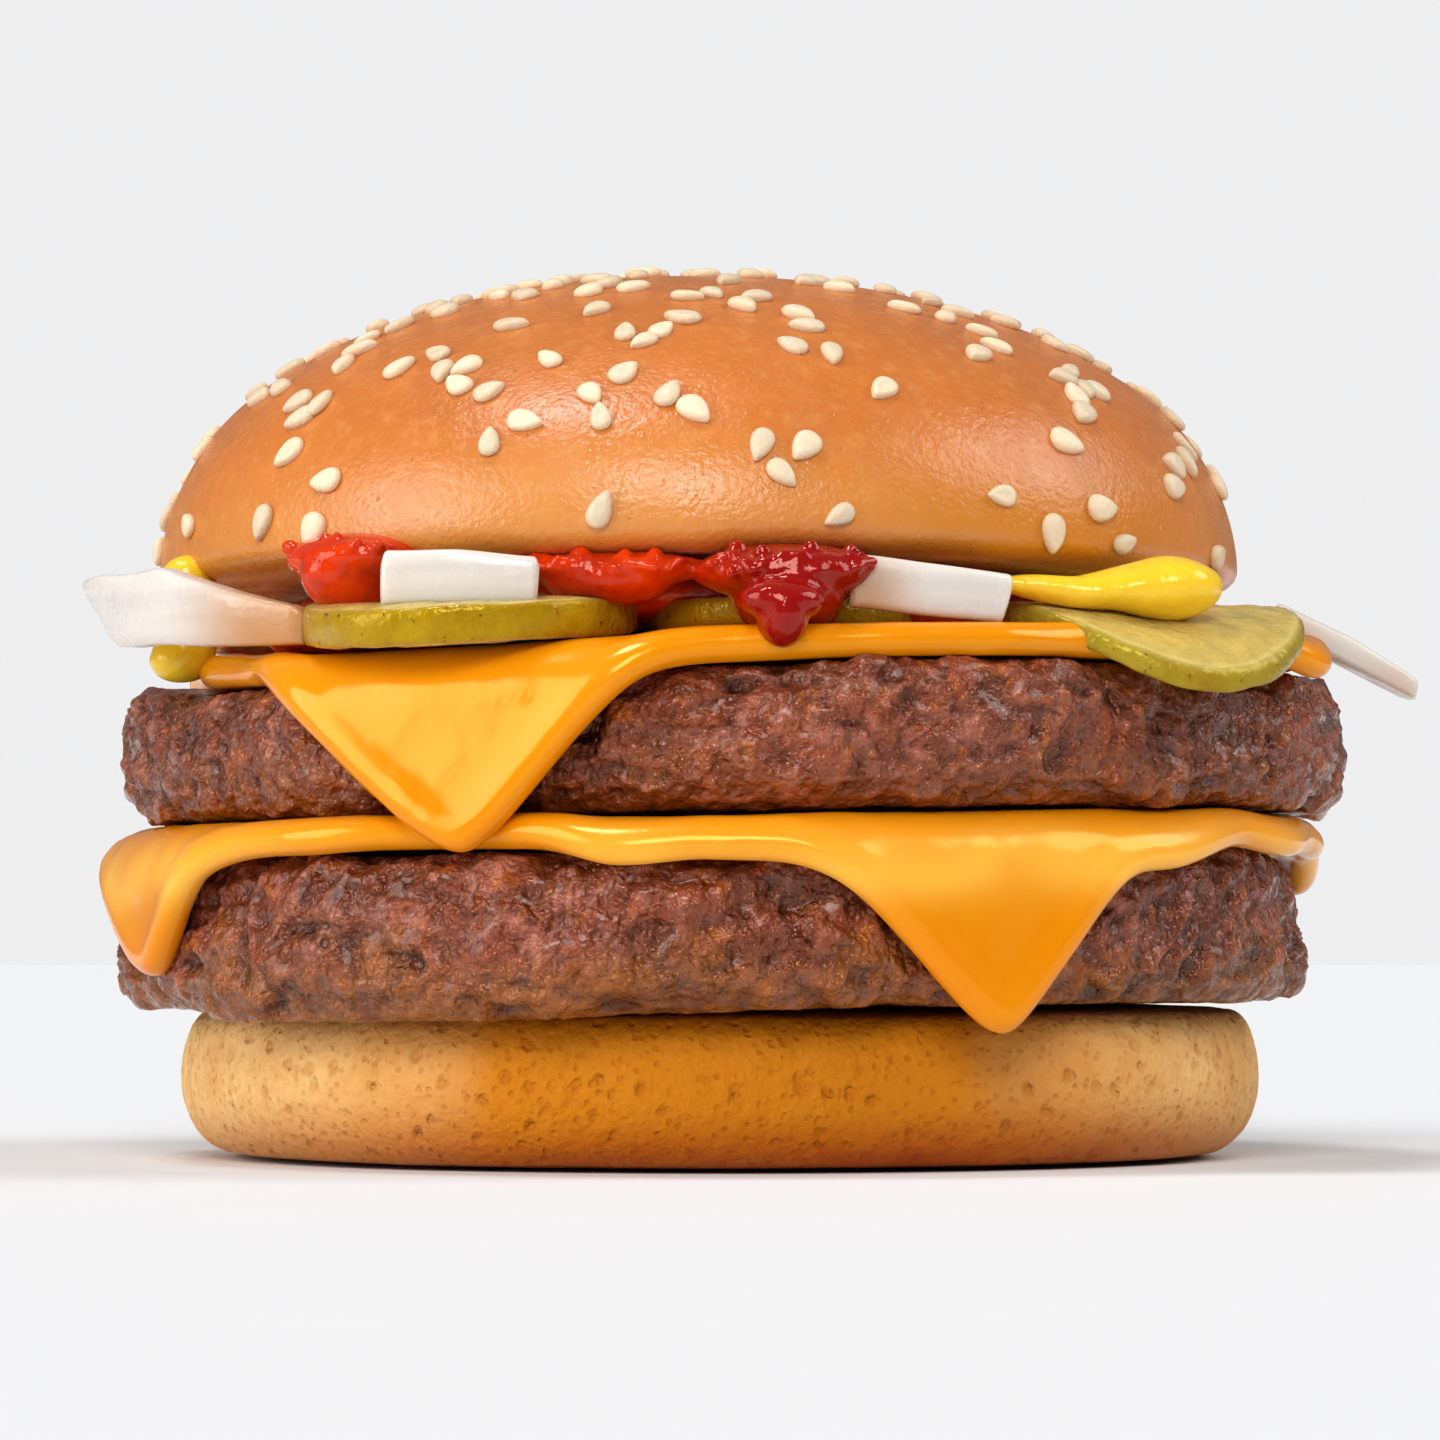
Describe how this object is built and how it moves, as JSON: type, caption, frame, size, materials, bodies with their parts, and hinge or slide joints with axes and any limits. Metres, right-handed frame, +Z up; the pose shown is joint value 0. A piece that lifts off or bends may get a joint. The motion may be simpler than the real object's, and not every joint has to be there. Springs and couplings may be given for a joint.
{
  "type": "double cheeseburger",
  "caption": "Double cheeseburger: seeded bun, beef patties under draped cheese slices, with pickle, onion, ketchup and mustard.",
  "frame": {"origin": "middle of the heel's flat foot, where the burger stands on a table", "axes": "+Z up through the layers; -Y towards the viewer of the picture, +X to the viewer's right"},
  "size_m": [0.1248, 0.1187, 0.0839],
  "materials": {
    "crown_crust": "soft baked bread, golden brown and slightly shiny, with ivory sesame seeds",
    "heel_crust": "soft baked bread, pale gold with fine open pores, browner at the foot",
    "beef": "griddled minced beef, coarse, dark brown, moist",
    "cheese": "processed cheese, warm, smooth, slightly glossy amber",
    "pickle": "pickled cucumber, wet, olive green skin and paler flesh",
    "onion": "raw onion, wet, white and slightly translucent",
    "ketchup": "tomato ketchup, glossy deep red",
    "mustard": "yellow mustard, smooth and glossy"
  },
  "bodies": {
    "root": {"heel": "heel_crust", "patty_lower": "beef", "patty_upper": "beef", "cheese_lower": "cheese", "cheese_upper": "cheese", "pickle_left": "pickle", "pickle_middle": "pickle", "pickle_right": "pickle", "pickle_back": "pickle", "onion_left": "onion", "onion_center": "onion", "onion_right": "onion", "onion_far_right": "onion", "onion_back_right": "onion", "onion_back_left": "onion", "crown": "crown_crust", "mustard_left": "mustard", "mustard_right": "mustard", "ketchup": "ketchup"}
  },
  "joints": []
}
